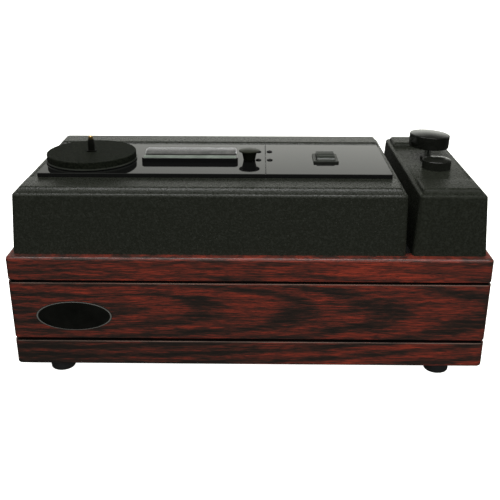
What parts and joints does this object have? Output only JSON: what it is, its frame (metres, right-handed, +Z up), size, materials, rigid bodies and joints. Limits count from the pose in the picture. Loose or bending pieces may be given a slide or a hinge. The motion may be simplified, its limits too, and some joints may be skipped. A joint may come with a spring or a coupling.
{
  "type": "record cleaning machine",
  "caption": "Record cleaner: wood cabinet, black covers, suction bar with platter and edge roller, rocker switch, pump knob and filler cap.",
  "frame": {"origin": "on the floor under the middle of the wood cabinet", "axes": "+X to the user's right along the front, +Y to the back, +Z up"},
  "size_m": [0.45, 0.2402, 0.216],
  "materials": {
    "wood": "stained satin, dark grain",
    "board": "unfinished board",
    "rubber": "matte",
    "steel": "zinc plated",
    "black_steel": "black oxide",
    "badge": "gloss black with a pale rim line, bare",
    "cover": "fine grained black",
    "acrylic": "polished black",
    "foam": "closed cell foam",
    "carrier": "turned edge",
    "mat": "coarse granular",
    "brass": "polished tip",
    "sleeve": "turned",
    "bronze": "sintered bush",
    "roller": "turned, satin",
    "motor": "pressed can",
    "lip": "short nap, satin",
    "pile": "dense pile",
    "tank": "moulded",
    "hose": "matte",
    "switch": "moulded, satin",
    "knob": "polished",
    "rod": "polished",
    "tube": "soft clear tube",
    "bottle": "natural moulded",
    "vacuum": "cast housing",
    "cap_black": "moulded"
  },
  "bodies": {
    "cabinet": {"front_board": "wood", "rear_board": "wood", "left_board": "wood", "right_board": "wood", "top_board": "board", "bottom_panel": "board", "rubber_feet": "rubber", "foot_screws": "steel", "badge_plate": "badge", "main_cover": "cover", "reservoir_cover": "cover", "deck_plate": "acrylic", "switch_plate": "acrylic", "deck_gasket": "foam", "deck_screws": "black_steel", "motor_plate": "steel", "platter_bearing": "bronze", "drive_motor": "motor", "vacuum_bar": "acrylic", "front_lip": "lip", "rear_lip": "pile", "suction_duct": "tank", "suction_hose": "hose", "switch_bezel": "switch", "pump_collar": "knob", "pump_barrel": "tank", "pump_spring": "steel", "fluid_tube": "tube", "filler_neck": "bottle", "reservoir_bottle": "bottle", "waste_tank": "tank", "tank_lid": "tank", "vacuum_motor": "vacuum", "motor_pads": "rubber", "link_hose": "hose", "drain_spigot": "tank", "cord_gland": "cap_black"},
    "platter": {"spindle": "brass", "retaining_clip": "steel", "platter": "carrier", "platter_mat": "mat", "spindle_sleeve": "sleeve"},
    "roller": {"drive_roller": "roller", "motor_shaft": "steel"},
    "rocker": {"switch_rocker": "switch"},
    "plunger": {"pump_knob": "knob", "pump_rod": "rod", "pump_piston": "tank"},
    "cap": {"filler_cap": "knob"},
    "drain": {"drain_cap": "cap_black"}
  },
  "joints": [
    {"name": "platter_spin", "type": "hinge", "parent": "cabinet", "child": "platter", "pos_m": [-0.1596, -0.014, 0.19], "axis": [0, 0, 1], "continuous": true},
    {"name": "roller_spin", "type": "hinge", "parent": "cabinet", "child": "roller", "pos_m": [-0.001, -0.014, 0.19], "axis": [0, 0, 1], "continuous": true},
    {"name": "rocker_tilt", "type": "hinge", "parent": "cabinet", "child": "rocker", "pos_m": [0.0755, -0.011, 0.188], "axis": [1, 0, 0], "range_deg": [-20, 0]},
    {"name": "pump_plunge", "type": "slide", "parent": "cabinet", "child": "plunger", "axis": [0, 0, -1], "range_m": [0, 0.01], "stiffness_N_per_m": 600, "springref_m": -0.008, "deforming": ["pump_spring"]},
    {"name": "cap_lift", "type": "slide", "parent": "cabinet", "child": "cap", "axis": [0, 0, 1], "range_m": [0, 0.03]},
    {"name": "drain_cap_pull", "type": "slide", "parent": "cabinet", "child": "drain", "axis": [0, 1, 0], "range_m": [0, 0.02]}
  ]
}
